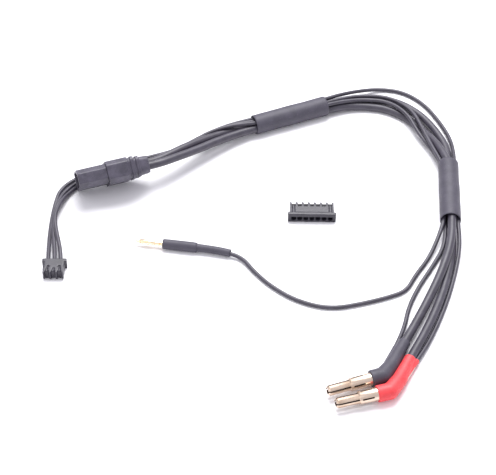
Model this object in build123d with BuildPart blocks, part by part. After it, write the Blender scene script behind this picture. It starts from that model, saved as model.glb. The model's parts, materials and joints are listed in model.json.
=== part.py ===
from build123d import *
import os
from math import radians, tan

# A two-cell balance charging lead for remote control models, laid out on a bench.
# Millimetres and degrees. +Z is up, the bench is z = 0, and the origin is the middle of the
# bench area that the lead's plugs, boots and sleeves cover.

# ---- driving dimensions ----
MAIN_WIRE_D = 3.5          # silicone wire, 14 gauge
BALANCE_WIRE_D = 1.7       # silicone wire, 22 gauge
MAIN_CORE_D = 2.4          # bare, tinned end of a main wire
BALANCE_CORE_D = 0.8
SHARE_OF_RUN = 0.45        # how much of its shorter run each corner of a cord takes up

SLEEVE_LENGTH = 34.0       # shrink tube round the whole bundle
SLEEVE_D = 8.6
SLEEVE_BORE = 7.8

PLUG_W = 16.0              # power plug, across its two contacts
PLUG_H = 8.1
PLUG_SHELL = 12.4          # length of the shell in front of the cover
PLUG_CAVITY = 9.4
PLUG_WALL = 1.0
PLUG_BEVEL_W = 2.5         # the two bevelled corners mark the negative side
PLUG_BEVEL_H = 1.95
BOSS_W = 14.0              # rear boss that the cover clips onto
BOSS_H = 6.9
BOSS_END = PLUG_SHELL + 4.2
BEAD_START = BOSS_END - 1.7  # bead round the boss, which holds the cover
BEAD_L = 0.9
BEAD_H = 0.2
CONTACT_SPACING = 7.2
CONTACT_D = 3.5
CONTACT_TIP = 1.8          # how far behind the shell's rim the contacts start
CONTACT_SLOT_END = 8.8
CONTACT_SLOT = 0.5
CUP_D = 4.2                # solder cup
CUP_BORE = 2.6
CUP_FLOOR = PLUG_SHELL + 1.4
CUP_END = PLUG_SHELL + 5.5
PLUG_CORE_END = CUP_END + 0.1
COVER_W = 17.0
COVER_H = 9.7
COVER_CORNER = 0.9
COVER_CAVITY_W = BOSS_W + 0.9
COVER_CAVITY_H = BOSS_H + 0.8
COVER_CAVITY_END = 19.4
COVER_BODY_END = 21.5
COVER_STEP = 0.6           # how far the body stands above the start of the tail
COVER_END = 30.4
COVER_TAIL_W = 10.2
COVER_TAIL_H = 7.2
COVER_TAIL_CORNER = 2.2
COVER_EXIT_W = 9.0
COVER_EXIT_H = 6.0
COVER_RIBS = (22.6, 25.0)  # two ribs round the tail
COVER_RIB_L = 1.3
LATCH_X = 4.4              # slots in the cover's wide faces: at its rim and over the bead
LATCH_Y = (PLUG_SHELL, 18.2)
LATCH_L = 2.2
LATCH_W = 1.1

PITCH = 2.5                # balance plugs
HOUSING_L = 7.9
HOUSING_H = 4.4
HOUSING_SIDE = 1.55        # from the middle of an outer cell to the housing's side
RIB_W = 0.9                # two key ribs on the underside
RIB_H = 0.4
RIB_INSET = 1.5
FLANGE_L = 1.5
FLANGE_OUT = 0.85
SPIKE_L = 1.3              # pointed teeth between the cells at the mating end
NOTCH_FRONT = 0.95
NOTCH_BACK = 0.65
WINDOW_L = 2.8             # slot over each cell at the mating end
WINDOW_W = 0.8
LOCK_L = 1.1               # lock window under each cell
LOCK_W = 1.4
KEY_D = 1.0                # two shallow marks on the top
KEY_Y = 4.4
KEY_INSET = 0.3
KEY_DEPTH = 0.5
CELL = 2.0
CELL_Z = 2.7
CELL_END = 5.8
CELL_OUTLET = 1.1
WIRE_IN_CELL = 1.52
CRIMP_D = 1.2
CRIMP_END = 2.8
SOCKET_W = 1.5
SOCKET_H = 1.4
SOCKET_END = 5.6
SOCKET_WALL = 0.25

BULLET_D = 4.0             # stepped bullet: 4 mm in front, 5 mm behind
BULLET_REAR_D = 5.0
BULLET_BORE = 2.5
BULLET_NOSE = 0.8
BULLET_STEP = 8.5
BULLET_TAPER = 0.6
BULLET_CUP = 15.6
BULLET_L = 19.4
BULLET_SLOT = 0.6
BULLET_ROLL = -28.0        # turns one slot up and to the front
BULLET_Z = 3.5
BOOT_NECK_D = 4.6
SHOULDER_D = 5.0
THIN_NECK_D = 2.3
FIT = 0.12                 # room round a wire in its boot
STRAND_ROOM = 2.7
THIN_STRAND_ROOM = 1.0

PIN_BARE = 11.4            # small spring pin: bare length, then two layers of sleeve
PIN_COLLAR_D = 2.1
PIN_COLLAR = 9.2
PIN_STEM_D = 1.1
PIN_CUP_D = 1.2
PIN_CUP = 17.0
PIN_END = 21.0
PIN_BULGE_D = 2.2          # the spring leaves at their widest
PIN_LEAF = 0.18
PIN_SLOT = 0.35
PIN_FRONT_SLEEVE_D = 4.2
PIN_REAR_SLEEVE_D = 3.3
PIN_REAR_BORE = 2.6
PIN_REAR_START = PIN_END + 0.5
PIN_SLEEVE_STEP = 25.2
PIN_SLEEVE_END = 38.9

# ---- places ----
# The power plug leans on one long edge, its bevelled side up and to the front, and the
# wider cover lifts its rear.
PLUG_YAW = 17.2
PLUG_RISE = 2.0
PLUG_LEAN = 46.0
PLUG_FRONT = Vector(-74.8, 28.7, 8.8)
plug_axis = Vector(1, 0, 0).rotate(Axis.Y, -PLUG_RISE).rotate(Axis.Z, PLUG_YAW)
plug_side = plug_axis.cross(Vector(0, 0, 1)).normalized().rotate(Axis((0, 0, 0), plug_axis), -PLUG_LEAN)
PLUG = Plane(origin=PLUG_FRONT, x_dir=plug_side, z_dir=plug_axis)


def flat_plane(x, y, z, heading, roll=0):
    """A plane whose normal points along a heading in XY, with its y axis up before any roll."""
    ahead = Vector(1, 0, 0).rotate(Axis.Z, heading)
    across = Vector(0, 0, 1).cross(ahead).rotate(Axis((0, 0, 0), ahead), roll)
    return Plane(origin=(x, y, z), x_dir=across, z_dir=ahead)


SLEEVE_1 = flat_plane(-0.9, 69.6, SLEEVE_D / 2, 22.5)
SLEEVE_2 = flat_plane(81.4, 43.7, SLEEVE_D / 2, 266.1)
BULLET_BLACK = flat_plane(25.4, -78.9, BULLET_Z, 19.0, BULLET_ROLL)
BULLET_RED = flat_plane(28.2, -84.6, BULLET_Z, 15.7, BULLET_ROLL)
BOOT_BLACK = (17.2, 21.9, 6.7)  # start and bend, from the bullet's tip, and diameter there
BOOT_RED = (15.9, 21.0, 6.1)
PIN = flat_plane(-49.3, 0.3, PIN_FRONT_SLEEVE_D / 2, -9.0)
BALANCE_PLUG = Plane(origin=(-80.8, -11.8, 0), x_dir=(-1, 0, 0), z_dir=(0, 0, 1))
SPARE_PLUG = Plane(origin=(22.6, 13.2, HOUSING_H), x_dir=(-1, 0.02, 0), z_dir=(0, 0, -1))

# The cords, each from the plug at its left end to where it ends on the right.
NEGATIVE = [
    (-56.9, 31.6, 12.0), (-52.7, 32.9, 12.2), (-46.1, 35.7, 10.6), (-39.5, 37.9, 10.9),
    (-31.6, 44.5, 9.0), (-24.2, 50.7, 7.3), (-15.8, 58.0, 5.7), (-7.2, 64.2, 4.3),
    (2.6, 69.1, 3.5), (15.5, 74.4, 3.5),
    (28.4, 79.8, 3.5), (38.3, 84.1, 2.7), (48.3, 85.2, 1.8), (58.2, 83.4, 1.8),
    (67.2, 76.6, 1.8), (74.1, 66.2, 2.0), (78.3, 55.2, 4.9), (81.7, 42.2, 6.1),
    (80.8, 26.7, 6.1), (79.7, 11.2, 6.1), (78.1, -3.8, 5.6), (73.0, -18.8, 4.5),
    (66.1, -33.8, 2.9), (59.2, -47.8, 2.7), (54.3, -57.2, 2.9), (49.6, -66.6, 3.2)]
POSITIVE = [
    (-58.2, 36.4, 6.8), (-54.0, 37.8, 7.0), (-47.1, 39.1, 9.1), (-40.6, 41.7, 9.3),
    (-31.8, 49.0, 8.8), (-24.4, 55.8, 6.9), (-15.8, 62.9, 4.7), (-7.2, 68.1, 3.4),
    (1.2, 72.4, 3.5), (14.1, 77.8, 3.5),
    (28.8, 83.8, 3.5), (36.9, 87.7, 2.4), (47.8, 90.2, 1.8), (60.3, 89.7, 1.8),
    (71.1, 81.5, 1.8), (78.3, 69.2, 1.8), (82.4, 56.2, 1.8), (81.8, 42.2, 2.5),
    (80.9, 26.7, 2.5), (79.8, 11.2, 2.5), (78.9, -4.3, 1.9), (75.6, -18.3, 1.8),
    (70.9, -33.3, 1.8), (64.2, -48.8, 2.0), (57.7, -61.4, 2.4), (52.2, -73.2, 2.9)]
BALANCE_OUTER = [
    (-83.3, -13.3, 2.7), (-83.9, -6.3, 2.4), (-84.5, 3.2, 1.2), (-84.6, 13.2, 0.9),
    (-84.1, 22.7, 0.9), (-82.7, 32.3, 0.9), (-75.3, 39.8, 0.9), (-64.7, 44.5, 0.9),
    (-54.2, 49.2, 0.9), (-44.7, 52.8, 0.9), (-34.7, 56.6, 1.0), (-24.5, 64.0, 2.2),
    (-13.4, 70.2, 4.7), (0.2, 72.0, 6.2), (14.1, 77.9, 6.3), (27.5, 83.4, 6.3),
    (36.8, 89.0, 5.2), (46.3, 95.2, 2.4), (56.3, 98.2, 1.0), (66.3, 96.2, 0.9),
    (74.8, 88.2, 0.9), (80.9, 75.7, 0.9), (85.1, 61.7, 1.4), (84.1, 42.0, 4.8),
    (83.2, 26.5, 4.8), (82.0, 11.1, 4.8), (81.9, -2.8, 3.2), (78.9, -16.3, 1.0),
    (74.3, -31.3, 0.9), (68.6, -45.8, 0.9), (62.5, -58.3, 1.3), (58.6, -65.9, 1.9)]
BALANCE_MIDDLE = [
    (-80.8, -13.3, 2.7), (-81.3, -6.3, 2.6), (-82.7, 2.7, 2.3), (-84.0, 12.7, 2.6),
    (-82.9, 22.2, 2.2), (-80.9, 30.1, 1.2), (-74.5, 37.8, 0.9), (-63.9, 42.8, 0.9),
    (-53.4, 47.4, 0.9), (-44.1, 51.0, 0.9), (-34.3, 54.8, 1.2), (-24.1, 62.4, 3.7),
    (-13.0, 68.1, 6.4), (0.9, 70.4, 5.9), (14.8, 76.0, 5.8), (28.2, 81.6, 5.8),
    (36.9, 86.2, 5.3), (47.6, 89.1, 4.8), (59.7, 87.8, 4.8), (68.7, 78.8, 5.2),
    (72.3, 66.0, 5.0), (75.3, 54.7, 5.1), (79.2, 42.3, 5.0), (78.0, 26.9, 5.0),
    (77.1, 11.4, 5.0), (73.3, 0.7, 3.2), (68.8, -8.8, 1.0), (62.6, -18.3, 0.9),
    (58.7, -26.4, 0.9), (51.3, -29.8, 0.9), (40.8, -33.2, 0.9), (28.3, -36.0, 0.9),
    (15.6, -32.0, 0.9), (5.1, -23.8, 0.9), (-1.7, -15.4, 0.9), (-5.5, -9.2, 1.2),
    (-11.2, -5.75, 1.9), (-19.7, -4.4, 2.1)]
BALANCE_INNER = [
    (-78.3, -13.3, 2.7), (-78.9, -6.3, 2.9), (-81.1, 2.2, 3.4), (-83.3, 12.2, 4.2),
    (-81.5, 21.4, 3.4), (-79.6, 28.3, 1.3), (-73.9, 35.8, 0.9), (-63.1, 41.0, 0.9),
    (-52.6, 45.6, 0.9), (-43.5, 49.2, 0.9), (-33.9, 53.0, 1.5), (-23.8, 61.4, 6.0),
    (-12.4, 66.2, 7.9), (1.6, 68.7, 6.3), (15.5, 74.3, 6.3), (28.9, 80.0, 6.3),
    (37.9, 84.0, 5.6), (47.7, 86.6, 4.6), (58.8, 85.2, 4.6), (66.6, 76.5, 4.9),
    (70.6, 64.8, 3.4), (75.7, 54.5, 3.0), (79.3, 43.8, 3.0), (78.1, 26.9, 3.0),
    (77.1, 11.4, 3.0), (76.1, -1.8, 1.7), (69.9, -13.3, 0.9), (63.5, -24.3, 0.9),
    (58.7, -35.3, 0.9), (56.3, -45.8, 1.0), (50.9, -57.8, 1.9), (47.5, -64.4, 2.3)]

os.makedirs("parts", exist_ok=True)


def save(piece, name):
    """Label a finished piece and write its STEP file."""
    piece.part.label = name
    export_step(piece.part, f"parts/{name}.step")


# ---- cords ----
def corner_radii(points):
    """The largest arc at each corner that the two runs beside it leave room for."""
    spots = [Vector(*point) for point in points]
    radii = []
    for before, corner, after in zip(spots, spots[1:], spots[2:]):
        turn = (corner - before).get_angle(after - corner)
        run = min((corner - before).length, (after - corner).length)
        radii.append(SHARE_OF_RUN * run / tan(radians(turn / 2)))
    return radii


def make_cord(points, diameter, name):
    """A round cord along straight runs joined by tangent arcs."""
    radii = corner_radii(points)
    with BuildPart() as cord:
        with BuildLine():
            path = FilletPolyline(*points, radius=radii)
        with BuildSketch(Plane(origin=path @ 0, z_dir=path % 0)):
            Circle(diameter / 2)
        sweep(path=path)
    length = path.length
    expected = Circle(diameter / 2, mode=Mode.PRIVATE).area * length
    print(f"{name}: length {length:.1f}, volume / expected {cord.part.volume / expected:.4f}")
    print("   radii", [round(radius, 1) for radius in radii])
    save(cord, name)


make_cord(NEGATIVE, MAIN_WIRE_D, "negative_wire")
make_cord(POSITIVE, MAIN_WIRE_D, "positive_wire")
make_cord(BALANCE_OUTER, BALANCE_WIRE_D, "balance_wire_outer")
make_cord(BALANCE_MIDDLE, BALANCE_WIRE_D, "balance_wire_middle")
make_cord(BALANCE_INNER, BALANCE_WIRE_D, "balance_wire_inner")


# ---- shapes that several pieces use ----
def disc(plane, start, end, diameter, mode=Mode.ADD):
    """A round bar along a plane's normal, from one distance to another."""
    with BuildSketch(plane.offset(start)) as profile:
        Circle(diameter / 2)
    extrude(profile.sketch, amount=end - start, mode=mode)


def straight(start, end, diameter):
    """A round bar between two points."""
    along = end - start
    disc(Plane(origin=start, z_dir=along), 0, along.length, diameter)


def turned(plane, outline):
    """A turned piece from (radius, distance along the plane's normal) points."""
    with BuildSketch(Plane(origin=plane.origin, x_dir=plane.x_dir, z_dir=-plane.y_dir)) as profile:
        Polygon(*outline, align=None)
    revolve(profile.sketch, axis=Axis(plane.origin, plane.z_dir))


def slots(plane, start, end, width, reach):
    """Two crossed slots cut lengthwise through a turned piece."""
    with BuildSketch(plane.offset(start)) as profile:
        Rectangle(reach, width)
        Rectangle(width, reach)
    extrude(profile.sketch, amount=end - start, mode=Mode.SUBTRACT)


# ---- power plug ----
def plug_outline(width, height):
    """The plug's six-cornered section, its two bevels on the +x side."""
    x = width / 2
    y = height / 2
    low = x - PLUG_BEVEL_W
    flat = y - PLUG_BEVEL_H
    Polygon((-x, -y), (low, -y), (x, -flat), (x, flat), (low, y), (-x, y), align=None)


CONTACT_XS = (CONTACT_SPACING / 2, -CONTACT_SPACING / 2)

with BuildPart() as housing:
    with BuildSketch(PLUG):
        plug_outline(PLUG_W, PLUG_H)
        fillet(vertices(), radius=0.5)
    extrude(amount=PLUG_SHELL)
    with BuildSketch(PLUG):
        plug_outline(PLUG_W - 2 * PLUG_WALL, PLUG_H - 2 * PLUG_WALL)
    extrude(amount=PLUG_CAVITY, mode=Mode.SUBTRACT)
    with BuildSketch(PLUG.offset(PLUG_SHELL)):
        RectangleRounded(BOSS_W, BOSS_H, 1.0)
    extrude(amount=BOSS_END - PLUG_SHELL)
    with BuildSketch(PLUG.offset(BEAD_START)):
        RectangleRounded(BOSS_W + 2 * BEAD_H, BOSS_H + 2 * BEAD_H, 1.0)
    extrude(amount=BEAD_L)
    with BuildSketch(PLUG.offset(PLUG_CAVITY)):
        with Locations(*[(x, 0) for x in CONTACT_XS]):
            Circle(CONTACT_D / 2)
    extrude(amount=BOSS_END - PLUG_CAVITY, mode=Mode.SUBTRACT)
    with BuildSketch(PLUG.offset(PLUG_SHELL)):
        with Locations(*[(x, 0) for x in CONTACT_XS]):
            Circle(CUP_D / 2)
    extrude(amount=BOSS_END - PLUG_SHELL, mode=Mode.SUBTRACT)
save(housing, "power_plug_housing")

for x, name in zip(CONTACT_XS, ("negative", "positive")):
    seat = PLUG.shift_origin(PLUG.from_local_coords((x, 0, 0)))
    with BuildPart() as contact:
        turned(seat, [
            (0, CONTACT_TIP), (1.2, CONTACT_TIP), (CONTACT_D / 2, CONTACT_TIP + 0.8),
            (CONTACT_D / 2, PLUG_SHELL), (CUP_D / 2, PLUG_SHELL), (CUP_D / 2, CUP_END),
            (CUP_BORE / 2, CUP_END), (CUP_BORE / 2, CUP_FLOOR), (0, CUP_FLOOR)])
        slots(seat, CONTACT_TIP, CONTACT_SLOT_END, CONTACT_SLOT, CONTACT_D + 1)
    save(contact, f"power_contact_{name}")
    with BuildPart() as core:
        disc(seat, CUP_FLOOR, PLUG_CORE_END, MAIN_CORE_D)
    save(core, f"{name}_plug_core")

with BuildPart() as cover:
    with BuildSketch(PLUG.offset(PLUG_SHELL)):
        plug_outline(COVER_W, COVER_H)
        fillet(vertices(), radius=COVER_CORNER)
    extrude(amount=COVER_BODY_END - PLUG_SHELL)
    with BuildSketch(PLUG.offset(COVER_BODY_END)):
        RectangleRounded(COVER_W - 2 * COVER_STEP, COVER_H - 2 * COVER_STEP, COVER_TAIL_CORNER)
    with BuildSketch(PLUG.offset(COVER_END)):
        RectangleRounded(COVER_TAIL_W, COVER_TAIL_H, COVER_TAIL_CORNER)
    loft()
    for start in COVER_RIBS:
        share = (start - COVER_BODY_END) / (COVER_END - COVER_BODY_END)
        rib_w = COVER_W - share * (COVER_W - COVER_TAIL_W)
        rib_h = COVER_H - share * (COVER_H - COVER_TAIL_H)
        with BuildSketch(PLUG.offset(start)):
            RectangleRounded(rib_w, rib_h, COVER_TAIL_CORNER)
        extrude(amount=COVER_RIB_L)
    with BuildSketch(PLUG.offset(PLUG_SHELL)):
        RectangleRounded(COVER_CAVITY_W, COVER_CAVITY_H, 1.2)
    extrude(amount=COVER_CAVITY_END - PLUG_SHELL, mode=Mode.SUBTRACT)
    with BuildSketch(PLUG.offset(COVER_CAVITY_END)):
        RectangleRounded(COVER_CAVITY_W, COVER_CAVITY_H, 1.2)
    with BuildSketch(PLUG.offset(COVER_END)):
        RectangleRounded(COVER_EXIT_W, COVER_EXIT_H, 1.2)
    loft(mode=Mode.SUBTRACT)
    with BuildSketch(Plane(origin=PLUG.origin, x_dir=PLUG.x_dir, z_dir=PLUG.y_dir)):
        with Locations(*[(x, -y) for x in (LATCH_X, -LATCH_X) for y in LATCH_Y]):
            SlotOverall(LATCH_L, LATCH_W)
    extrude(amount=COVER_H, both=True, mode=Mode.SUBTRACT)
save(cover, "power_plug_cover")


# ---- balance plugs ----
def spike_notch():
    """The tapered gap between two teeth, its mouth on the x axis."""
    Polygon((-NOTCH_FRONT, 0.1), (NOTCH_FRONT, 0.1), (NOTCH_BACK, -SPIKE_L), (-NOTCH_BACK, -SPIKE_L),
            align=None)


def balance_housing(place, circuits, name):
    """A crimp housing: place is its underside at the wire end, with y towards the mating end."""
    columns = [PITCH * (number - (circuits - 1) / 2) for number in range(circuits)]
    width = 2 * (columns[-1] + HOUSING_SIDE)
    entry = Plane(origin=place.origin, x_dir=-place.x_dir, z_dir=place.y_dir)
    with BuildPart() as shell:
        with BuildSketch(entry):
            with Locations((0, (HOUSING_H + RIB_H) / 2)):
                RectangleRounded(width, HOUSING_H - RIB_H, 0.3)
        extrude(amount=HOUSING_L)
        with BuildSketch(entry):
            with Locations((0, HOUSING_H / 2)):
                RectangleRounded(width + 2 * FLANGE_OUT, HOUSING_H, 0.4)
        extrude(amount=FLANGE_L)
        with BuildSketch(entry):
            with Locations((RIB_INSET - width / 2, RIB_H), (width / 2 - RIB_INSET, RIB_H)):
                Rectangle(RIB_W, 2 * RIB_H)
        extrude(amount=HOUSING_L - SPIKE_L)
        with BuildSketch(entry):
            with Locations(*[(x, CELL_Z) for x in columns]):
                Circle(CELL / 2)
            with Locations(*[(x, CELL_Z - CELL / 4) for x in columns]):
                Rectangle(CELL, CELL / 2)
        extrude(amount=CELL_END, mode=Mode.SUBTRACT)
        with BuildSketch(entry):
            with Locations(*[(x, CELL_Z) for x in columns]):
                Rectangle(CELL_OUTLET, CELL_OUTLET)
        extrude(amount=HOUSING_L, mode=Mode.SUBTRACT)
        with BuildSketch(place):
            with Locations(*[(x, HOUSING_L) for x in columns]):
                spike_notch()
        extrude(amount=HOUSING_H, mode=Mode.SUBTRACT)
        with BuildSketch(place.offset(CELL_Z)):
            with Locations(*[(x, HOUSING_L - WINDOW_L / 2) for x in columns]):
                Rectangle(WINDOW_W, WINDOW_L)
        extrude(amount=HOUSING_H - CELL_Z, mode=Mode.SUBTRACT)
        with BuildSketch(place):
            with Locations(*[(x, HOUSING_L - SPIKE_L - LOCK_L / 2) for x in columns]):
                Rectangle(LOCK_W, LOCK_L)
        extrude(amount=CELL_Z, mode=Mode.SUBTRACT)
        with BuildSketch(place.offset(HOUSING_H)):
            with Locations((columns[0] + KEY_INSET, KEY_Y), (columns[-1] - KEY_INSET, KEY_Y)):
                Circle(KEY_D / 2)
        extrude(amount=-KEY_DEPTH, mode=Mode.SUBTRACT)
    save(shell, name)


balance_housing(BALANCE_PLUG, 3, "balance_plug_housing")
balance_housing(SPARE_PLUG, 7, "spare_plug_housing")

entry = Plane(origin=BALANCE_PLUG.origin, x_dir=-BALANCE_PLUG.x_dir, z_dir=BALANCE_PLUG.y_dir)
for number in (1, 2, 3):
    seat = entry.shift_origin(entry.from_local_coords((PITCH * (number - 2), CELL_Z, 0)))
    with BuildPart() as contact:
        disc(seat, WIRE_IN_CELL, CRIMP_END, CRIMP_D)
        with BuildSketch(seat.offset(CRIMP_END)):
            Rectangle(SOCKET_W, SOCKET_H)
        extrude(amount=SOCKET_END - CRIMP_END)
        with BuildSketch(seat.offset(CRIMP_END + 2 * SOCKET_WALL)):
            Rectangle(SOCKET_W - 2 * SOCKET_WALL, SOCKET_H - 2 * SOCKET_WALL)
        extrude(amount=SOCKET_END - CRIMP_END, mode=Mode.SUBTRACT)
    save(contact, f"balance_contact_{number}")

# ---- bundle sleeves ----
for number, place in ((1, SLEEVE_1), (2, SLEEVE_2)):
    with BuildPart() as sleeve:
        disc(place, 0, SLEEVE_LENGTH, SLEEVE_D)
        disc(place, 0, SLEEVE_LENGTH, SLEEVE_BORE, Mode.SUBTRACT)
    save(sleeve, f"bundle_sleeve_{number}")


# ---- bullet plugs and their boots ----
def limb(points, diameter):
    """Round bars from point to point, with a ball at each bend."""
    for start, end in zip(points, points[1:]):
        straight(start, end, diameter)
    for bend in points[1:-1]:
        with Locations(bend):
            Sphere(diameter / 2)


def make_bullet(place, name):
    """A gold plug: hollow and slotted in front, with a solder cup behind."""
    small = BULLET_D / 2
    large = BULLET_REAR_D / 2
    bore = BULLET_BORE / 2
    taper_end = BULLET_STEP + BULLET_TAPER
    with BuildPart() as bullet:
        turned(place, [
            (bore, 0), (small - 0.45, 0), (small, BULLET_NOSE), (small, BULLET_STEP),
            (large, taper_end), (large, BULLET_L), (CUP_BORE / 2, BULLET_L),
            (CUP_BORE / 2, BULLET_CUP), (0, BULLET_CUP), (0, BULLET_CUP - 1), (bore, BULLET_CUP - 1)])
        slots(place, 0, BULLET_STEP + 0.2, BULLET_SLOT, BULLET_REAR_D + 1)
        slots(place, taper_end + 0.6, BULLET_CUP - 1.4, BULLET_SLOT, BULLET_REAR_D + 1)
    save(bullet, name)


def make_boot(place, boot_span, main, thin, thin_start, name):
    """Elbow boot and soldered strands; main and thin run from the elbow out to the boot's mouth.

    thin_start is the place in thin where the balance wire itself begins.
    """
    front, elbow, elbow_d = boot_span
    bend = place.origin + place.z_dir * elbow
    wire_end = main[0]
    rise = wire_end - bend
    main_out = main[-1] + (main[-1] - main[-2]).normalized()
    thin_out = thin[-1] + (thin[-1] - thin[-2]).normalized()
    shoulder = bend + rise * 0.7
    joint = bend + rise * 0.4
    strands = [joint] + thin[:thin_start + 1]
    thin_tip = strands[-1] + (strands[-2] - strands[-1]).normalized() * 0.3
    with BuildPart() as hollow:
        disc(place, front - 1, BULLET_L, BULLET_REAR_D)
        limb([place.origin + place.z_dir * (BULLET_L - 1), bend, wire_end], STRAND_ROOM)
        limb(main[:-1] + [main_out], MAIN_WIRE_D + FIT)
        limb(strands, THIN_STRAND_ROOM)
        limb(thin[thin_start:-1] + [thin_out], BALANCE_WIRE_D + FIT)
    with BuildPart() as boot:
        disc(place, front, elbow, elbow_d)
        with Locations(bend):
            Sphere(elbow_d / 2)
        limb([bend, shoulder], SHOULDER_D)
        with Locations(shoulder):
            Sphere(SHOULDER_D / 2)
        limb([shoulder] + main, BOOT_NECK_D)
        limb([joint] + thin, THIN_NECK_D)
        add(hollow.part, mode=Mode.SUBTRACT)
    save(boot, f"{name}_boot")
    with BuildPart() as core:
        limb([place.origin + place.z_dir * BULLET_CUP, bend, wire_end - rise * 0.03], MAIN_CORE_D)
        limb(strands[:-1] + [thin_tip], BALANCE_CORE_D)
    save(core, f"{name}_bullet_core")


make_bullet(BULLET_BLACK, "negative_bullet")
make_bullet(BULLET_RED, "positive_bullet")
black_main = [Vector(*NEGATIVE[-1]), Vector(*NEGATIVE[-2]), Vector(55.6, -54.7, 2.85)]
black_thin = [Vector(*BALANCE_INNER[-1]), Vector(*BALANCE_INNER[-2]), Vector(51.7, -56.0, 1.8)]
red_main = [Vector(*POSITIVE[-1]), Vector(*POSITIVE[-2]), Vector(58.3, -60.2, 2.35)]
red_thin = [Vector(54.4, -73.9, 2.7), Vector(*BALANCE_OUTER[-1]), Vector(60.8, -61.6, 1.55)]
make_boot(BULLET_BLACK, BOOT_BLACK, black_main, black_thin, 0, "negative")
make_boot(BULLET_RED, BOOT_RED, red_main, red_thin, 1, "positive")

# ---- small spring pin ----
stem = PIN_STEM_D / 2
collar = PIN_COLLAR_D / 2
groove = collar - 0.25
bulge = PIN_BULGE_D / 2
with BuildPart() as pin:
    turned(PIN, [
        (0, 0), (0.3, 0), (stem, 0.5), (stem, PIN_COLLAR), (collar, PIN_COLLAR),
        (collar, PIN_COLLAR + 0.7), (groove, PIN_COLLAR + 0.9), (groove, PIN_COLLAR + 1.3),
        (collar, PIN_COLLAR + 1.5), (collar, PIN_END), (PIN_CUP_D / 2, PIN_END),
        (PIN_CUP_D / 2, PIN_CUP), (0, PIN_CUP)])
save(pin, "pin_body")

with BuildPart() as spring:
    turned(PIN, [
        (stem, 0.9), (0.75, 0.9), (0.8, 1.7), (bulge, 3.6), (bulge, 6.5), (0.8, 8.4), (0.75, PIN_COLLAR),
        (stem, PIN_COLLAR), (stem, 8.4), (bulge - PIN_LEAF, 6.4), (bulge - PIN_LEAF, 3.7), (stem, 1.7)])
    slots(PIN, 1.8, 8.3, PIN_SLOT, PIN_COLLAR_D + 1)
save(spring, "pin_spring")

with BuildPart() as front_sleeve:
    disc(PIN, PIN_BARE, PIN_SLEEVE_STEP, PIN_FRONT_SLEEVE_D)
    disc(PIN, PIN_BARE, PIN_REAR_START, PIN_COLLAR_D, Mode.SUBTRACT)
    disc(PIN, PIN_REAR_START, PIN_SLEEVE_STEP, PIN_REAR_SLEEVE_D, Mode.SUBTRACT)
save(front_sleeve, "pin_front_sleeve")

with BuildPart() as rear_sleeve:
    disc(PIN, PIN_REAR_START, PIN_SLEEVE_END, PIN_REAR_SLEEVE_D)
    disc(PIN, PIN_REAR_START, PIN_SLEEVE_END, PIN_REAR_BORE, Mode.SUBTRACT)
save(rear_sleeve, "pin_rear_sleeve")

with BuildPart() as core:
    straight(PIN.origin + PIN.z_dir * PIN_CUP, Vector(*BALANCE_MIDDLE[-1]), BALANCE_CORE_D)
save(core, "pin_core")
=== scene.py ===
"""Looks for a balance charging lead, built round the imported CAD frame. Metres, +Z up."""
import json
import math

import bmesh
import bpy
from mathutils import Matrix, Vector


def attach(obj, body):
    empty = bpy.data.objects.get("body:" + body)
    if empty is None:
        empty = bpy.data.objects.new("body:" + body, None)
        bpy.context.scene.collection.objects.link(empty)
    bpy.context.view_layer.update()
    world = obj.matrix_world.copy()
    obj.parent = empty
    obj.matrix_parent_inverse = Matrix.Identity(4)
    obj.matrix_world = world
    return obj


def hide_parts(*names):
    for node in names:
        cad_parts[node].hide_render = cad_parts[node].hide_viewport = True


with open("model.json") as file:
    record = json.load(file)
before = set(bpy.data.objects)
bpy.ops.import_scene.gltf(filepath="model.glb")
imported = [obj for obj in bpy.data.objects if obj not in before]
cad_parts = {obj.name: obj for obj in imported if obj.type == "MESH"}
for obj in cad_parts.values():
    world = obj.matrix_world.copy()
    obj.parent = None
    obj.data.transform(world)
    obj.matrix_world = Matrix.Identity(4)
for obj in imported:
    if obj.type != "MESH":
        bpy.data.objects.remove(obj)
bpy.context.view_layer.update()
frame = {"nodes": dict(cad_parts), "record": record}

MM = 0.001

# ---- camera ----
CAMERA_TARGET = Vector((-3.7, 4.2, 0.0)) * MM
CAMERA_DISTANCE = 600 * MM
CAMERA_ELEVATION = math.radians(45)
CAMERA_FIELD = math.radians(19.15)     # across the picture's width

camera_data = bpy.data.cameras.new("camera")
camera_data.angle = CAMERA_FIELD
camera_data.clip_start = 0.01
camera = bpy.data.objects.new("camera", camera_data)
camera.location = CAMERA_TARGET + CAMERA_DISTANCE * Vector(
    (0, -math.cos(CAMERA_ELEVATION), math.sin(CAMERA_ELEVATION)))
camera.rotation_euler = (math.pi / 2 - CAMERA_ELEVATION, 0, 0)
bpy.context.scene.collection.objects.link(camera)
bpy.context.scene.camera = camera

# ---- materials ----
# Each pair is the part of a noise's or the pointiness's range over which a change comes in.
PATCH_RANGE = (0.35, 0.65)     # from the colour to its shade
SPECK_RANGE = (0.58, 0.75)     # fine pale specks
SPECK_MOST = 0.35
GLOSS_RANGE = (0.3, 0.7)       # from glossier to rougher
GLOSS_SPREAD = 0.07
EDGE_RANGE = (0.53, 0.64)      # worn edges
WORN_RANGE = (0.3, 0.6)        # and where along them the wear is strong
WORN_LEAST = 0.3
BUMP_STRENGTH = 0.6
COLOR_A, COLOR_B, COLOR_OUT = 6, 7, 2   # the Mix node's colour sockets


def remap(tree, source, span, low, high):
    """Stretches a span of another node's output from low to high; returns the result."""
    node = tree.nodes.new("ShaderNodeMapRange")
    for socket, value in zip(("From Min", "From Max", "To Min", "To Max"), (*span, low, high)):
        node.inputs[socket].default_value = value
    tree.links.new(source, node.inputs["Value"])
    return node.outputs["Result"]


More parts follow.
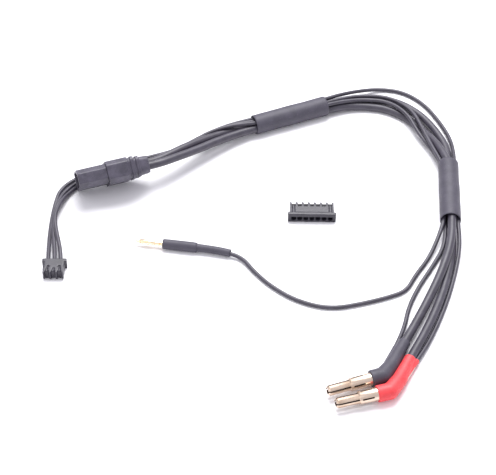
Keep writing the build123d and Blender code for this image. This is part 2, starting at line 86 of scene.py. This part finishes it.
def noise(tree, place, scale, detail, roughness=0.5):
    """A noise texture on the object's own coordinates; scale is in waves to the metre."""
    node = tree.nodes.new("ShaderNodeTexNoise")
    node.inputs["Scale"].default_value = scale
    node.inputs["Detail"].default_value = detail
    node.inputs["Roughness"].default_value = roughness
    tree.links.new(place, node.inputs["Vector"])
    return node.outputs["Fac"]


def blend_colors(tree, share, first, second):
    """Mixes two colours; each is a tuple or another node's output."""
    node = tree.nodes.new("ShaderNodeMix")
    node.data_type = "RGBA"
    tree.links.new(share, node.inputs["Factor"])
    for socket, color in ((COLOR_A, first), (COLOR_B, second)):
        if isinstance(color, tuple):
            node.inputs[socket].default_value = (*color, 1)
        else:
            tree.links.new(color, node.inputs[socket])
    return node.outputs[COLOR_OUT]


def make_material(name, color, shade, edge, roughness, grain, bump_mm, wear,
                  patch=260, metallic=0.0, **sockets):
    """A used surface: patchy colour, uneven gloss, fine grain and worn edges.

    color and shade are its patches' two colours and edge is the colour of specks and wear. grain
    and patch are in waves to the metre. Other sockets of the shader are set by name.
    """
    material = bpy.data.materials.new(name)
    material.use_nodes = True
    tree = material.node_tree
    shader = tree.nodes["Principled BSDF"]
    shader.inputs["Metallic"].default_value = metallic
    for socket, value in sockets.items():
        shader.inputs[socket.replace("_", " ")].default_value = value
    place = tree.nodes.new("ShaderNodeTexCoord").outputs["Object"]
    patches = noise(tree, place, patch, detail=4)
    fine = noise(tree, place, grain, detail=3, roughness=0.6)
    patched = blend_colors(tree, remap(tree, patches, PATCH_RANGE, 0, 1), color, shade)
    speckled = blend_colors(tree, remap(tree, fine, SPECK_RANGE, 0, SPECK_MOST), patched, edge)
    pointed = tree.nodes.new("ShaderNodeNewGeometry").outputs["Pointiness"]
    worn = tree.nodes.new("ShaderNodeMath")
    worn.operation = "MULTIPLY"
    tree.links.new(remap(tree, pointed, EDGE_RANGE, 0, wear), worn.inputs[0])
    tree.links.new(remap(tree, patches, WORN_RANGE, WORN_LEAST, 1), worn.inputs[1])
    finished = blend_colors(tree, worn.outputs["Value"], speckled, edge)
    tree.links.new(finished, shader.inputs["Base Color"])
    uneven = remap(tree, fine, GLOSS_RANGE, roughness - GLOSS_SPREAD, roughness + GLOSS_SPREAD)
    tree.links.new(uneven, shader.inputs["Roughness"])
    bump = tree.nodes.new("ShaderNodeBump")
    bump.inputs["Strength"].default_value = BUMP_STRENGTH
    bump.inputs["Distance"].default_value = bump_mm * MM
    tree.links.new(fine, bump.inputs["Height"])
    tree.links.new(bump.outputs["Normal"], shader.inputs["Normal"])
    return material


FINISHES = {
    "silicone_black": dict(
        color=(0.046, 0.041, 0.060), shade=(0.032, 0.028, 0.042), edge=(0.13, 0.12, 0.15),
        roughness=0.46, grain=2600, bump_mm=0.012, wear=0.25, Specular_IOR_Level=0.6),
    "nylon_black": dict(
        color=(0.074, 0.067, 0.095), shade=(0.044, 0.040, 0.058), edge=(0.30, 0.28, 0.35),
        roughness=0.42, grain=3800, bump_mm=0.015, wear=0.35),
    # painted shade: a darker copy of nylon_black for the balance housings, whose tops face the key
    # light
    "nylon_shaded_black": dict(
        color=(0.030, 0.027, 0.040), shade=(0.020, 0.018, 0.027), edge=(0.20, 0.19, 0.23),
        roughness=0.38, grain=3800, bump_mm=0.02, wear=0.5),
    # painted shade: near-black nylon for the spare housing's cells, which are seen in shade
    "nylon_painted_shade": dict(
        color=(0.010, 0.009, 0.014), shade=(0.006, 0.005, 0.009), edge=(0.03, 0.03, 0.04),
        roughness=0.6, grain=3800, bump_mm=0.02, wear=0.2),
    "shrink_black": dict(
        color=(0.060, 0.055, 0.077), shade=(0.046, 0.042, 0.060), edge=(0.16, 0.15, 0.19),
        roughness=0.58, grain=1800, bump_mm=0.014, wear=0.3),
    "shrink_red": dict(
        color=(0.80, 0.060, 0.068), shade=(0.70, 0.045, 0.055), edge=(0.95, 0.22, 0.22),
        roughness=0.5, grain=1800, bump_mm=0.014, wear=0.3,
        Subsurface_Weight=0.05, Subsurface_Scale=0.0006),
    "gold_plate": dict(
        color=(0.70, 0.56, 0.45), shade=(0.58, 0.43, 0.32), edge=(0.92, 0.82, 0.72),
        roughness=0.33, grain=2400, bump_mm=0.004, wear=0.5, metallic=1.0),
    "gold_pin": dict(
        color=(0.95, 0.82, 0.62), shade=(0.90, 0.68, 0.42), edge=(1.0, 0.93, 0.80),
        roughness=0.3, grain=2400, bump_mm=0.004, wear=0.4, metallic=1.0),
    # painted shade: dark brown gold for the bullets' slots and bore, where shade falls
    "gold_painted_shade": dict(
        color=(0.10, 0.055, 0.035), shade=(0.05, 0.026, 0.018), edge=(0.30, 0.19, 0.12),
        roughness=0.6, grain=2400, bump_mm=0.01, wear=0.2, metallic=0.6),
    "tinned_copper": dict(
        color=(0.70, 0.65, 0.58), shade=(0.60, 0.50, 0.42), edge=(0.85, 0.82, 0.78),
        roughness=0.42, grain=1500, bump_mm=0.03, wear=0.4, metallic=1.0),
    "tin_plate": dict(
        color=(0.80, 0.80, 0.82), shade=(0.70, 0.70, 0.73), edge=(0.92, 0.92, 0.94),
        roughness=0.28, grain=2400, bump_mm=0.004, wear=0.4, metallic=1.0),
}
MATERIALS = {name: make_material(name, **finish) for name, finish in FINISHES.items()}

for part in frame["record"]["subparts"]:
    node = frame["nodes"][part["node"]]
    node.data.materials.clear()
    finish = "gold_pin" if part["node"] in ("pin_body", "pin_spring") else part["material_slot"]
    node.data.materials.append(MATERIALS[finish])

# ---- cords ----
# Each cord's length, diameter and route in metres, from its left-hand plug to its other end.
CORDS = {
    "negative_wire": (0.2946, 0.0035, [
        (-0.0569, 0.0316, 0.01200), (-0.0527, 0.0329, 0.01220), (-0.0461, 0.0357, 0.01060),
        (-0.0395, 0.0379, 0.01090), (-0.0316, 0.0445, 0.00900), (-0.0242, 0.0507, 0.00730),
        (-0.0158, 0.0580, 0.00570), (-0.0072, 0.0642, 0.00430), (0.0026, 0.0691, 0.00350),
        (0.0155, 0.0744, 0.00350), (0.0284, 0.0798, 0.00350), (0.0383, 0.0841, 0.00270),
        (0.0483, 0.0852, 0.00180), (0.0582, 0.0834, 0.00180), (0.0672, 0.0766, 0.00180),
        (0.0741, 0.0662, 0.00200), (0.0783, 0.0552, 0.00490), (0.0817, 0.0422, 0.00610),
        (0.0808, 0.0267, 0.00610), (0.0797, 0.0112, 0.00610), (0.0781, -0.0038, 0.00560),
        (0.0730, -0.0188, 0.00450), (0.0661, -0.0338, 0.00290), (0.0592, -0.0478, 0.00270),
        (0.0543, -0.0572, 0.00290), (0.0496, -0.0666, 0.00320)]),
    "positive_wire": (0.3092, 0.0035, [
        (-0.0582, 0.0364, 0.00680), (-0.0540, 0.0378, 0.00700), (-0.0471, 0.0391, 0.00910),
        (-0.0406, 0.0417, 0.00930), (-0.0318, 0.0490, 0.00880), (-0.0244, 0.0558, 0.00690),
        (-0.0158, 0.0629, 0.00470), (-0.0072, 0.0681, 0.00340), (0.0012, 0.0724, 0.00350),
        (0.0141, 0.0778, 0.00350), (0.0288, 0.0838, 0.00350), (0.0369, 0.0877, 0.00240),
        (0.0478, 0.0902, 0.00180), (0.0603, 0.0897, 0.00180), (0.0711, 0.0815, 0.00180),
        (0.0783, 0.0692, 0.00180), (0.0824, 0.0562, 0.00180), (0.0818, 0.0422, 0.00250),
        (0.0809, 0.0267, 0.00250), (0.0798, 0.0112, 0.00250), (0.0789, -0.0043, 0.00190),
        (0.0756, -0.0183, 0.00180), (0.0709, -0.0333, 0.00180), (0.0642, -0.0488, 0.00200),
        (0.0577, -0.0614, 0.00240), (0.0522, -0.0732, 0.00290)]),
    "balance_wire_outer": (0.3839, 0.0017, [
        (-0.0833, -0.0133, 0.00270), (-0.0839, -0.0063, 0.00240), (-0.0845, 0.0032, 0.00120),
        (-0.0846, 0.0132, 0.00090), (-0.0841, 0.0227, 0.00090), (-0.0827, 0.0323, 0.00090),
        (-0.0753, 0.0398, 0.00090), (-0.0647, 0.0445, 0.00090), (-0.0542, 0.0492, 0.00090),
        (-0.0447, 0.0528, 0.00090), (-0.0347, 0.0566, 0.00100), (-0.0245, 0.0640, 0.00220),
        (-0.0134, 0.0692, 0.00420), (0.0002, 0.0720, 0.00620), (0.0141, 0.0779, 0.00630),
        (0.0275, 0.0834, 0.00630), (0.0368, 0.0890, 0.00520), (0.0463, 0.0952, 0.00240),
        (0.0563, 0.0982, 0.00100), (0.0663, 0.0962, 0.00090), (0.0748, 0.0882, 0.00090),
        (0.0809, 0.0757, 0.00090), (0.0851, 0.0617, 0.00140), (0.0841, 0.0420, 0.00480),
        (0.0832, 0.0265, 0.00480), (0.0820, 0.0111, 0.00480), (0.0819, -0.0028, 0.00320),
        (0.0789, -0.0163, 0.00100), (0.0743, -0.0313, 0.00090), (0.0686, -0.0458, 0.00090),
        (0.0625, -0.0583, 0.00130), (0.0579, -0.0656, 0.00200)]),
    "balance_wire_middle": (0.4137, 0.0017, [
        (-0.0808, -0.0133, 0.00270), (-0.0813, -0.0063, 0.00260), (-0.0827, 0.0027, 0.00230),
        (-0.0840, 0.0127, 0.00260), (-0.0829, 0.0222, 0.00220), (-0.0809, 0.0301, 0.00120),
        (-0.0745, 0.0378, 0.00090), (-0.0639, 0.0428, 0.00090), (-0.0534, 0.0474, 0.00090),
        (-0.0441, 0.0510, 0.00090), (-0.0343, 0.0548, 0.00120), (-0.0241, 0.0624, 0.00370),
        (-0.0130, 0.0676, 0.00560), (0.0009, 0.0704, 0.00590), (0.0148, 0.0760, 0.00580),
        (0.0282, 0.0816, 0.00580), (0.0369, 0.0862, 0.00530), (0.0476, 0.0891, 0.00480),
        (0.0597, 0.0878, 0.00480), (0.0687, 0.0788, 0.00520), (0.0723, 0.0660, 0.00500),
        (0.0753, 0.0547, 0.00510), (0.0792, 0.0423, 0.00500), (0.0780, 0.0269, 0.00500),
        (0.0771, 0.0114, 0.00500), (0.0733, 0.0007, 0.00320), (0.0688, -0.0088, 0.00100),
        (0.0626, -0.0183, 0.00090), (0.0587, -0.0264, 0.00090), (0.0513, -0.0298, 0.00090),
        (0.0408, -0.0332, 0.00090), (0.0283, -0.0360, 0.00090), (0.0156, -0.0320, 0.00090),
        (0.0051, -0.0238, 0.00090), (-0.0017, -0.0154, 0.00090), (-0.0055, -0.0092, 0.00120),
        (-0.0112, -0.0063, 0.00180), (-0.0197, -0.0044, 0.00210)]),
    "balance_wire_inner": (0.3573, 0.0017, [
        (-0.0783, -0.0133, 0.00270), (-0.0789, -0.0063, 0.00290), (-0.0811, 0.0022, 0.00340),
        (-0.0833, 0.0122, 0.00420), (-0.0815, 0.0214, 0.00340), (-0.0796, 0.0283, 0.00130),
        (-0.0739, 0.0358, 0.00090), (-0.0631, 0.0410, 0.00090), (-0.0526, 0.0456, 0.00090),
        (-0.0435, 0.0492, 0.00090), (-0.0339, 0.0530, 0.00150), (-0.0238, 0.0610, 0.00580),
        (-0.0124, 0.0656, 0.00720), (0.0016, 0.0687, 0.00630), (0.0155, 0.0743, 0.00630),
        (0.0289, 0.0800, 0.00630), (0.0379, 0.0840, 0.00560), (0.0477, 0.0866, 0.00460),
        (0.0588, 0.0852, 0.00460), (0.0666, 0.0765, 0.00490), (0.0706, 0.0648, 0.00340),
        (0.0757, 0.0545, 0.00300), (0.0793, 0.0438, 0.00300), (0.0781, 0.0269, 0.00300),
        (0.0771, 0.0114, 0.00300), (0.0761, -0.0018, 0.00170), (0.0699, -0.0133, 0.00090),
        (0.0635, -0.0243, 0.00090), (0.0587, -0.0353, 0.00090), (0.0563, -0.0458, 0.00100),
        (0.0514, -0.0580, 0.00190), (0.0480, -0.0646, 0.00230)]),
}


def make_cord(name, diameter, points):
    """One free wire: a smooth NURBS tube along the route."""
    curve = bpy.data.curves.new(f"{name}_route", "CURVE")
    curve.dimensions = "3D"
    curve.bevel_depth = diameter / 2
    curve.bevel_resolution = 6
    curve.resolution_u = 12
    curve.use_fill_caps = True
    spline = curve.splines.new("NURBS")
    spline.points.add(len(points) - 1)
    for control, point in zip(spline.points, points):
        control.co = (*point, 1)
    spline.order_u = 3
    spline.use_endpoint_u = True
    curve.materials.append(MATERIALS["silicone_black"])
    cord = bpy.data.objects.new(f"{name}_cord", curve)
    bpy.context.scene.collection.objects.link(cord)
    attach(cord, "lead")
    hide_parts(name)


for cord_name, (cord_length, cord_diameter, cord_points) in CORDS.items():
    make_cord(cord_name, cord_diameter, cord_points)


# ---- shapes that several pieces use ----
WELD = 0.002 * MM              # joins the seams of a CAD mesh
MOULD_VOXEL = 0.17 * MM
THIN_VOXEL = 0.13 * MM         # for thin walls and small blocks
BOOT_VOXEL = 0.2 * MM
MOULD_PASSES = 3               # how often a remeshed skin is smoothed
BLOCK_PASSES = 2
BOOT_PASSES = 6
SMOOTH_FACTOR = 0.5


def add_piece(name, mesh, node, body, slot, finish=None):
    """A piece that stands for a CAD node, in that node's place; finish is a variant of slot."""
    for face in mesh.polygons:
        face.use_smooth = True
    mesh.materials.clear()
    mesh.materials.append(MATERIALS[finish or slot])
    piece = bpy.data.objects.new(name, mesh)
    bpy.context.scene.collection.objects.link(piece)
    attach(piece, body)
    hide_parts(node)


def freed(build, name):
    """A mesh with what a bmesh holds; the bmesh is freed."""
    mesh = bpy.data.meshes.new(name)
    build.to_mesh(mesh)
    build.free()
    return mesh


def cad_copy(node):
    """A bmesh of a CAD node, its seams joined."""
    source = frame["nodes"][node]
    build = bmesh.new()
    build.from_mesh(source.data)
    build.transform(source.matrix_world)
    bmesh.ops.remove_doubles(build, verts=build.verts, dist=WELD)
    return build


def remeshed(build, name, voxel, passes):
    """One closed skin over everything in a bmesh, its edges eased; the bmesh is freed."""
    holder = bpy.data.objects.new(f"{name}_holder", freed(build, name))
    bpy.context.scene.collection.objects.link(holder)
    skin = holder.modifiers.new("skin", "REMESH")
    skin.mode = "VOXEL"
    skin.voxel_size = voxel
    ease = holder.modifiers.new("ease", "SMOOTH")
    ease.factor = SMOOTH_FACTOR
    ease.iterations = passes
    bpy.context.view_layer.update()
    shown = holder.evaluated_get(bpy.context.evaluated_depsgraph_get())
    result = bpy.data.meshes.new_from_object(shown)
    result.name = name
    bpy.data.objects.remove(holder)
    return result


# ---- plugs and housings ----
PITCH = 2.5                    # millimetres from cell to cell
# A balance housing's place: its wire end, in millimetres, then the directions across it, towards
# its mating end and through it.
PLUG_PLACE = ((-80.8, -11.8, 0), Vector((-1, 0, 0)), Vector((0, -1, 0)), Vector((0, 0, 1)))
SPARE_PLACE = ((22.6, 13.2, 4.4), Vector((-1, 0.02, 0)), Vector((0.02, 1, 0)), Vector((0, 0, -1)))
# A stop's half width, and its reach along and through the housing.
NOTCH_STOP = (0.9, (6.1, 7.0), (0.2, 3.7))
WINDOW_STOP = (0.6, (4.9, 6.9), (3.4, 4.05))
SPARE_STOP = (0.93, (6.65, 7.7), (1.3, 4.2))


def cell_stops(circuits, stop, place):
    """The walls that stand behind the cells' windows, so that no light comes through the cells."""
    half, span, depth = stop
    for number in range(circuits):
        column = PITCH * (number - (circuits - 1) / 2)
        yield (column - half, span[0], depth[0]), (column + half, span[1], depth[1]), place


def add_block(build, low, high, place):
    """A closed block from low to high, in millimetres along a housing's own three directions."""
    corner, across, ahead, up = place
    for vert in bmesh.ops.create_cube(build, size=1)["verts"]:
        x, y, z = (a + (b - a) * (c + 0.5) for a, b, c in zip(low, high, vert.co))
        vert.co = (Vector(corner) + across * x + ahead * y + up * z) * MM


def moulded(node, body, finish, blocks=(), voxel=MOULD_VOXEL):
    """A CAD node's shape with the softened edges and corners of a moulding."""
    build = cad_copy(node)
    for block in blocks:
        add_block(build, *block)
    mesh = remeshed(build, f"{node}_moulded", voxel, MOULD_PASSES)
    add_piece(f"{node}_moulded", mesh, node, body, "nylon_black", finish)


moulded("power_plug_housing", "lead", "nylon_black")
moulded("power_plug_cover", "plug_cover", "nylon_black", voxel=THIN_VOXEL)
# The balance housings take the darker copy of the nylon: painted shade.
moulded("balance_plug_housing", "lead", "nylon_shaded_black",
        [*cell_stops(3, NOTCH_STOP, PLUG_PLACE), *cell_stops(3, WINDOW_STOP, PLUG_PLACE)])
moulded("spare_plug_housing", "spare_housing", "nylon_shaded_black")

# The spare's cell stops are near black: painted shade in its cells.
stops_build = bmesh.new()
for spare_stop in cell_stops(7, SPARE_STOP, SPARE_PLACE):
    add_block(stops_build, *spare_stop)
stops_mesh = remeshed(stops_build, "spare_cell_stops", THIN_VOXEL, BLOCK_PASSES)
stops_mesh.materials.append(MATERIALS["nylon_painted_shade"])
stops = bpy.data.objects.new("spare_cell_stops", stops_mesh)
bpy.context.scene.collection.objects.link(stops)
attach(stops, "spare_housing")

# ---- bullets ----
# Faces past the nose and nearer the axis than the skin get painted shade.
BULLET_MOUNT = 4.65 * MM               # from a bullet's tip to its mount
BULLET_NOSE = 0.85 * MM                # the nose is bright all over as far back as this
BULLET_STEP = 9.1 * MM                 # where the thin front meets the thick rear
BULLET_SKIN = (1.9 * MM, 2.4 * MM)     # front and rear faces nearer the axis are inside it
CRISP_ANGLE = math.radians(35)         # steeper edges than this stay sharp


def plug_line(mount):
    """A bullet's tip and the direction from it to the rear, from the bullet's mount."""
    for entry in frame["record"]["mounts"]:
        if entry["name"] == mount:
            out = Vector(entry["axis"])
            return Vector(entry["pos_m"]) + out * BULLET_MOUNT, -out
    raise KeyError(mount)


def make_bullet(node, mount):
    """A bullet's CAD shape, its outside bright and painted shade on its slots and bore."""
    tip, ahead = plug_line(mount)
    mesh = freed(cad_copy(node), f"{node}_plated")
    add_piece(f"{node}_plated", mesh, node, "lead", "gold_plate")
    # the second material paints shade into the slots and bore
    mesh.materials.append(MATERIALS["gold_painted_shade"])
    for face in mesh.polygons:
        spot = face.center - tip
        far = spot.dot(ahead)
        skin = BULLET_SKIN[0] if far < BULLET_STEP else BULLET_SKIN[1]
        face.material_index = int(far > BULLET_NOSE and (spot - ahead * far).length < skin)
    mesh.set_sharp_from_angle(angle=CRISP_ANGLE)


make_bullet("negative_bullet", "negative_bullet_front")
make_bullet("positive_bullet", "positive_bullet_front")

# ---- boots ----
BOOT_NECK = 2.3 * MM           # radius over a main wire
THIN_NECK = 1.15 * MM          # and over a thin one
BAR_SIDES = 40
BALL_STEPS = 4
RISE_SHARES = (0.35, 0.7)      # spots between the elbow and the wire where the boot narrows
LOBE_SHARE = 0.45              # where the thin wire's lobe starts between them


def chain(build, spots):
    """Tapered bars from spot to spot, with a ball at every spot but the first and the last."""
    for (start, first), (end, last) in zip(spots, spots[1:]):
        along = end - start
        turn = along.to_track_quat("Z", "Y").to_matrix().to_4x4()
        bmesh.ops.create_cone(
            build, cap_ends=True, segments=BAR_SIDES, radius1=first, radius2=last,
            depth=along.length, matrix=Matrix.Translation((start + end) / 2) @ turn)
    for spot, radius in spots[1:-1]:
        bmesh.ops.create_icosphere(
            build, subdivisions=BALL_STEPS, radius=radius, matrix=Matrix.Translation(spot))


def make_boot(node, mount, bends, main, thin, slot):
    """An elbow of shrink tube over a bullet's rear; a main and a thin wire leave it together.

    bends is the distance from the bullet's tip to the boot's mouth and to its elbow, its diameter
    there, and its radius where the main wire starts. All are in millimetres, as are the spots of
    main and thin, which run along the wires to the boot's end.
    """
    tip, ahead = plug_line(mount)
    front, elbow, fat, limb = (value * MM for value in bends)
    bend = tip + ahead * elbow
    rise = Vector(main[0]) * MM - bend
    sides = [(tip + ahead * front, fat / 2), (bend, fat / 2)]
    sides += [(bend + rise * share, fat / 2 * (1 - share) + limb * share) for share in RISE_SHARES]
    sides += [(Vector(spot) * MM, radius)
              for spot, radius in zip(main, (limb, BOOT_NECK, BOOT_NECK))]
    lobe = [(bend + rise * LOBE_SHARE, THIN_NECK)]
    lobe += [(Vector(spot) * MM, THIN_NECK) for spot in thin]
    build = bmesh.new()
    chain(build, sides)
    chain(build, lobe)
    mesh = remeshed(build, f"{node}_elbow", BOOT_VOXEL, BOOT_PASSES)
    add_piece(f"{node}_elbow", mesh, node, "lead", slot)


make_boot("negative_boot", "negative_bullet_front", (17.2, 21.9, 6.7, 2.8),
          [(49.6, -66.6, 3.2), (54.3, -57.2, 2.9), (55.6, -54.7, 2.85)],
          [(48.1, -64.7, 2.3), (51.4, -58.1, 1.9), (52.2, -56.3, 1.8)], "shrink_black")
make_boot("positive_boot", "positive_bullet_front", (15.9, 21.0, 6.3, 2.9),
          [(52.2, -73.2, 2.9), (56.3, -64.3, 2.5), (57.2, -62.4, 2.45)],
          [(53.6, -73.4, 2.7), (57.9, -65.6, 2.0), (59.6, -62.9, 1.75)], "shrink_red")

# ---- sleeves, in millimetres ----
TUBE_SIDES = 56
RIM = 0.25                     # how far a rim's round edge stands out, in walls
SWELL_SIDES = 2                # an out-of-round tube is fatter on two opposite sides,
SWELL_TWIST = 5                # which turn along it
SWELL_FADE = 0.3               # and fade in and out from ring to ring
BUNDLE_PLACES = ((-0.9, 69.6, 22.5), (81.4, 43.7, 266.1))   # where each starts, and its heading
BUNDLE_R = 4.3
BUNDLE_LENGTH = 34
BUNDLE_RINGS = 40
BUNDLE_RIPPLE = 0.03           # its radius rises and falls by this
BUNDLE_WAVES = 14              # radians of the ripple over the sleeve
PIN_TIP = (-49.3, 0.3, 2.1)
PIN_HEADING = -9
PIN_RINGS = 26
FRONT_SPAN = (11.4, 25.2)      # from the pin's tip
FRONT_R = 2.1
FRONT_NIP = 0.12               # how far its two ends are drawn in
REAR_SPAN = (21.5, 38.9)
REAR_R = 1.65
REAR_TAPER = 0.1
REAR_BEND = 0.8                # its end bends to the front and down, with the wire
REAR_DROP = 0.22


def tube(node, spots, wall, waver):
    """An open shrink tube through (x, y, z, radius) spots in millimetres, a little out of round."""
    build = bmesh.new()
    count = len(spots)
    places = [Vector(spot[:3]) * MM for spot in spots]
    heads = [(places[min(i + 1, count - 1)] - places[max(i - 1, 0)]).normalized()
             for i in range(count)]

    def ring(index, inset, push):
        """One ring of the skin, inset from the outer radius and pushed along the tube."""
        side = heads[index].cross(Vector((0, 0, 1))).normalized()
        top = side.cross(heads[index])
        spot = places[index] + heads[index] * push * MM
        fade = math.cos(SWELL_FADE * index)
        verts = []
        for step in range(TUBE_SIDES):
            angle = 2 * math.pi * step / TUBE_SIDES
            swell = 1 + waver * math.sin(SWELL_SIDES * angle + SWELL_TWIST * index / count) * fade
            radius = (spots[index][3] * swell - inset) * MM
            aside = spot + side * radius * math.cos(angle)
            verts.append(build.verts.new(aside + top * radius * math.sin(angle)))
        return verts

    rings = [ring(i, 0, 0) for i in range(count)] + [ring(count - 1, wall / 2, wall * RIM)]
    rings += [ring(i, wall, 0) for i in reversed(range(count))] + [ring(0, wall / 2, -wall * RIM)]
    for first, last in zip(rings, rings[1:] + rings[:1]):
        for step in range(TUBE_SIDES):
            after = (step + 1) % TUBE_SIDES
            build.faces.new((first[step], first[after], last[after], last[step]))
    bmesh.ops.recalc_face_normals(build, faces=build.faces)
    add_piece(f"{node}_tube", freed(build, f"{node}_tube"), node, "lead", "shrink_black")


def straight_run(x, y, z, heading, start, end, steps):
    """Places along a heading in XY from start to end, each with its share of the way."""
    turn = math.radians(heading)
    for step in range(steps + 1):
        share = step / steps
        far = start + (end - start) * share
        yield share, (x + far * math.cos(turn), y + far * math.sin(turn), z)


for number, (x, y, heading) in enumerate(BUNDLE_PLACES, 1):
    bundle_run = straight_run(x, y, BUNDLE_R, heading, 0, BUNDLE_LENGTH, BUNDLE_RINGS)
    bundle_spots = [(*place, BUNDLE_R + BUNDLE_RIPPLE * math.cos(BUNDLE_WAVES * share))
                    for share, place in bundle_run]
    tube(f"bundle_sleeve_{number}", bundle_spots, wall=0.4, waver=0.012)

front_spots = [(*place, FRONT_R - FRONT_NIP * (2 * share - 1) ** 6)
               for share, place in straight_run(*PIN_TIP, PIN_HEADING, *FRONT_SPAN, PIN_RINGS)]
tube("pin_front_sleeve", front_spots, wall=0.4, waver=0.006)
rear_spots = [(x, y - REAR_BEND * share ** 3, z - REAR_DROP * share ** 3,
               REAR_R - REAR_TAPER * share)
              for share, (x, y, z) in straight_run(*PIN_TIP, PIN_HEADING, *REAR_SPAN, PIN_RINGS)]
tube("pin_rear_sleeve", rear_spots, wall=0.35, waver=0.006)

# ---- floor and light ----
FLOOR_HALF = 2.0
FLOOR_FINISH = dict(
    color=(0.93, 0.925, 0.95), shade=(0.925, 0.92, 0.945), edge=(0.95, 0.945, 0.965),
    roughness=0.85, grain=900, bump_mm=0.01, wear=0, patch=20)
WORLD_COLOR = (0.95, 0.94, 1.0, 1)
WORLD_STRENGTH = 0.85

floor_build = bmesh.new()
bmesh.ops.create_grid(floor_build, x_segments=1, y_segments=1, size=FLOOR_HALF)
floor_mesh = freed(floor_build, "floor")
floor = bpy.data.objects.new("floor", floor_mesh)
floor_mesh.materials.append(make_material("floor_white", **FLOOR_FINISH))
bpy.context.scene.collection.objects.link(floor)


def area_light(name, place, size, power):
    """A square soft light that looks at the origin."""
    light = bpy.data.lights.new(name, "AREA")
    light.size = size
    light.energy = power
    lamp = bpy.data.objects.new(name, light)
    lamp.location = place
    lamp.rotation_euler = (-Vector(place)).to_track_quat("-Z", "Y").to_euler()
    bpy.context.scene.collection.objects.link(lamp)


area_light("key", place=(0.05, 0.4, 0.75), size=0.55, power=11)
area_light("fill", place=(-0.5, -0.5, 0.6), size=0.6, power=1)
world = bpy.data.worlds.new("studio")
world.use_nodes = True
world.node_tree.nodes["Background"].inputs["Color"].default_value = WORLD_COLOR
world.node_tree.nodes["Background"].inputs["Strength"].default_value = WORLD_STRENGTH
bpy.context.scene.world = world
bpy.context.scene.view_settings.view_transform = "Standard"
